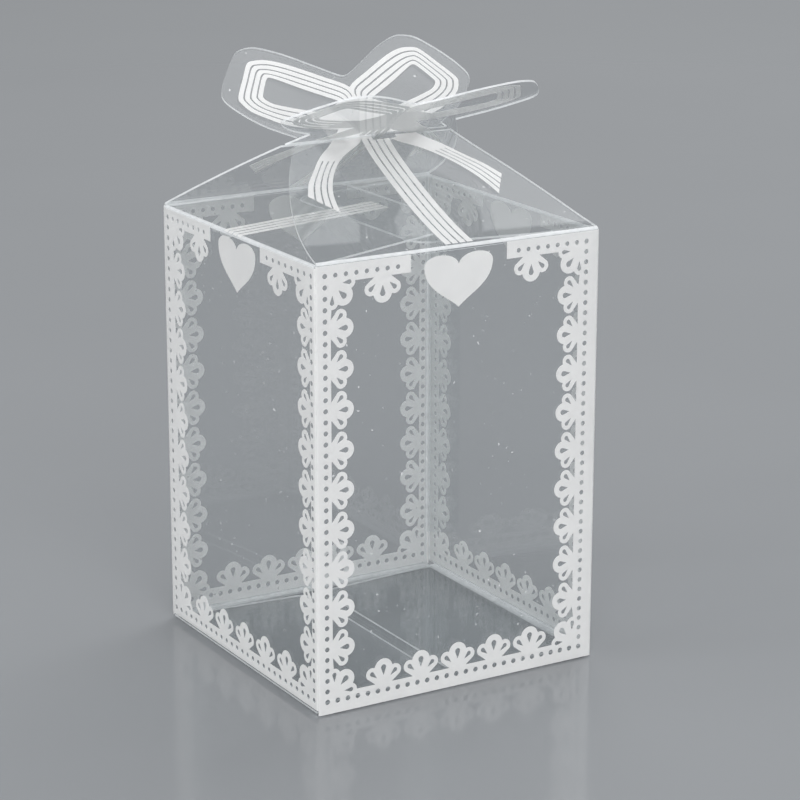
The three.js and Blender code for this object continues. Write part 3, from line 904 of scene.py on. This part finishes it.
def roof():
    tracks = {"front": march((0, ROOF_START), FRONT_SLOPE), "back": march((0, ROOF_START), BACK_SLOPE)}
    meets = dict(zip(("front", "back"), meeting(tracks["front"], tracks["back"])))
    film_rows = [*spaced(FOLD_STEPS + 1, *ROOF_FOLD), *rows(*FILM_ROWS)]
    for side, inwards, turn in (("front", 1, 0), ("back", -1, 180)):
        shift = BOW_LEAN[side]
        film = roof_sheet(f"roof_film_{side}", [roof_outline()], film_rows, meets[side], shift)
        thicken(film, FILM, FILM_FINISHES)
        frost(film, UP, *ROOF_FOLD)
        bow = roof_sheet(f"bow_print_visual_{side}", bow_outlines(), rows(*BOW_ROWS), meets[side], shift)
        ink(bow)
        for piece in (film, bow):
            fold_flap(piece, tracks[side], ROOF_START)
            place(piece, (0, -inwards * WALL, ROOF_CREASE), turn)
        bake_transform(film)
        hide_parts(f"roof_{side}", f"bow_{side}")
        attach(bow, f"roof_flap_{side}")
        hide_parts(f"ribbon_{side}", f"tail_right_{side}", f"tail_left_{side}", f"bow_print_{side}")


def top_flaps():
    """The two flaps under the roof. Only the left one has a ribbon."""
    reach = DUST_FLAP_REACH - TIGHT_FOLD + CREASE_LENGTH
    for side, inwards, turn in (("left", 1, -90), ("right", -1, 90)):
        track = crease_track((0, -DUST_FLAP_LEAD), 90, DUST_FLAP_TILT[side], DUST_FLAP_LEAD, reach + 1)
        at = (-inwards * WALL, 0, DUST_FLAP_CREASE)
        film = film_flap(f"top_flap_film_{side}", dust_flap_outline(reach), track, DUST_FLAP_LEAD)
        place(film, at, turn)
        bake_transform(film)
        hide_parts(f"top_flap_{side}")
        if side == "left":
            ribbon = cut("top_ribbon_print_left", thin_ribbon())
            score(ribbon, UP, crease_rows())
            ink(ribbon)
            fold_flap(ribbon, track, -DUST_FLAP_LEAD)
            place(ribbon, at, turn)
            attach(ribbon, "dust_flap_left")
            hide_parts("top_ribbon_left")
        else:
            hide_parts("top_ribbon_right")


# Base: the panel hinged on the back wall, its tongue inside the front wall, and the side walls' two flaps


def base():
    outline = [
        (-BASE_HALF, -BASE_LEAD), (BASE_HALF, -BASE_LEAD), (BASE_HALF, BASE_LENGTH), (-BASE_HALF, BASE_LENGTH),
    ]
    track = crease_track((0, TIGHT_FOLD + BASE_LEAD), -90, 0, BASE_LEAD, BASE_LENGTH + 1)
    panel = film_flap("base_film", outline, track, BASE_LEAD, WHITENED)
    place(panel, (0, WALL, BASE_LEVEL), 180)
    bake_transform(panel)
    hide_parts("base_panel")

    outline = tapered(TONGUE_HALF, TONGUE_LEAD, TONGUE_LENGTH, TONGUE_TAPER, TONGUE_CORNER)
    track = crease_track((TIGHT_FOLD + TONGUE_LEAD, 0), 180, 90, TONGUE_LEAD, TONGUE_TRACK)
    tongue = film_flap("base_tongue_film", outline, track, TONGUE_LEAD, finishes=CLEAR_EDGED_FINISHES)
    place(tongue, (0, -TONGUE_CREASE, BASE_LEVEL))
    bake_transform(tongue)
    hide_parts("base_tongue")

    for side, inwards, turn in (("left", 1, -90), ("right", -1, 90)):
        outline = tapered(BASE_FLAP_HALF, BASE_FLAP_LEAD, BASE_FLAP_LENGTH, BASE_FLAP_TAPER, BASE_FLAP_CORNER)
        track = crease_track((0, BASE_FLAP_LEAD), -90, 0, BASE_FLAP_LEAD, BASE_FLAP_TRACK)
        flap = film_flap(f"base_flap_film_{side}", outline, track, BASE_FLAP_LEAD, WHITENED)
        place(flap, (-inwards * WALL, 0, BASE_FLAP_CREASE), turn)
        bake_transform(flap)
        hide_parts(f"base_flap_{side}")


# Studio. Its sizes are in metres. Each lamp has a name, a place, a size, a power in watts, and whether the
# film and the floor mirror it.
FLOOR_RADIUS = 4.0
FLOOR_SIDES = 96
FLOOR_LEVEL = -0.0002
LAMPS_FACE = (0, 0, 0.04)
LAMPS = [
    ("key", (-0.3, -0.86, 0.66), 0.8, 7.2, False),
    ("low", (-0.22, -1.0, 0.06), 0.5, 5.2, False),
    ("side", (-0.95, 0.15, 0.4), 0.6, 5.0, False),
    ("back", (0.6, 0.5, 0.8), 0.8, 5.5, False),
    ("top", (0.5, 0.15, 0.95), 0.8, 2.6, True),
]
SEEN_GREY = (0.33, 0.34, 0.35, 1)
SKY_WHITE = (0.95, 0.97, 1.0, 1)
SKY_STRENGTH = 0.5

# Camera: its turn round the box, its height and its roll in radians, its lens, and in millimetres the point
# that it faces, its distance from there, and how far it is then moved to the right and down in its view
CAMERA_TURN = -0.5370
CAMERA_HEIGHT = 0.281286
CAMERA_ROLL = 0.0011
LENS = 120.622
SENSOR = 36.0
CAMERA_RANGE = (0.01, 20.0)
CAMERA_FACES = (0, 0, 40)
CAMERA_DISTANCE = 426.266
CAMERA_RIGHT = 3.6148
CAMERA_DOWN = 0.0928


def add_floor():
    bpy.ops.object.select_all(action="DESELECT")
    bpy.ops.mesh.primitive_circle_add(
        vertices=FLOOR_SIDES, radius=FLOOR_RADIUS, fill_type="NGON", location=(0, 0, FLOOR_LEVEL),
    )
    floor = bpy.context.object
    floor.name = "floor"
    finish = Finish(bpy.data.materials.new("studio_floor"))
    mottle = finish.noise(9.0, 2.0)
    board = finish.node("ShaderNodeBsdfPrincipled", {}, {
        "Base Color": finish.shade((0.22, 0.23, 0.24, 1), (0.24, 0.25, 0.26, 1), mottle), "Roughness": 0.12,
    })
    floor.data.materials.append(finish.surface(board))


def add_lamp(name, at, size, power, mirror):
    """A soft square lamp that points at the box. The camera never sees the lamp itself."""
    lamp = bpy.data.lights.new(name, "AREA")
    lamp.shape = "SQUARE"
    lamp.size = size
    lamp.energy = power
    holder = bpy.data.objects.new(name, lamp)
    holder.location = at
    holder.rotation_euler = (Vector(LAMPS_FACE) - Vector(at)).to_track_quat("-Z", "Y").to_euler()
    holder.visible_camera = False
    holder.visible_glossy = mirror
    bpy.context.collection.objects.link(holder)


def add_sky():
    """One plain grey for what the camera, mirrors and clear things see, and soft pale light for the rest."""
    world = bpy.data.worlds.new("studio")
    bpy.context.scene.world = world
    sky = Finish(world)

    def ray(kind):
        return sky.node("ShaderNodeLightPath", output=kind)

    seen = sky.node("ShaderNodeBackground", {}, {"Color": SEEN_GREY})
    light = sky.node("ShaderNodeBackground", {}, {"Color": SKY_WHITE, "Strength": SKY_STRENGTH})
    direct = sky.math("MAXIMUM", ray("Is Camera Ray"), ray("Is Glossy Ray"))
    share = sky.math("MAXIMUM", direct, ray("Is Transmission Ray"))
    sky.node("ShaderNodeOutputWorld", {}, {"Surface": sky.blend(share, light, seen)})


def add_camera():
    level = math.cos(CAMERA_HEIGHT)
    back = Vector((math.sin(CAMERA_TURN) * level, -math.cos(CAMERA_TURN) * level, math.sin(CAMERA_HEIGHT)))
    right = Vector((0, 0, 1)).cross(back).normalized()
    up = back.cross(right)
    right, up = (
        math.cos(CAMERA_ROLL) * right + math.sin(CAMERA_ROLL) * up,
        math.cos(CAMERA_ROLL) * up - math.sin(CAMERA_ROLL) * right,
    )
    camera = bpy.data.objects.new("camera", bpy.data.cameras.new("camera"))
    camera.data.lens = LENS
    camera.data.sensor_width = SENSOR
    camera.data.clip_start, camera.data.clip_end = CAMERA_RANGE
    camera.rotation_euler = Matrix((right, up, back)).transposed().to_euler()
    camera.location = (
        Vector(CAMERA_FACES) + back * CAMERA_DISTANCE + right * CAMERA_RIGHT - up * CAMERA_DOWN
    ) * MM
    bpy.context.collection.objects.link(camera)
    bpy.context.scene.camera = camera


sleeve_film()
sleeve_print()
roof()
top_flaps()
base()
add_floor()
for lamp in LAMPS:
    add_lamp(*lamp)
add_sky()
add_camera()
bpy.context.scene.view_settings.view_transform = "Standard"
bpy.context.scene.cycles.transparent_max_bounces = 64
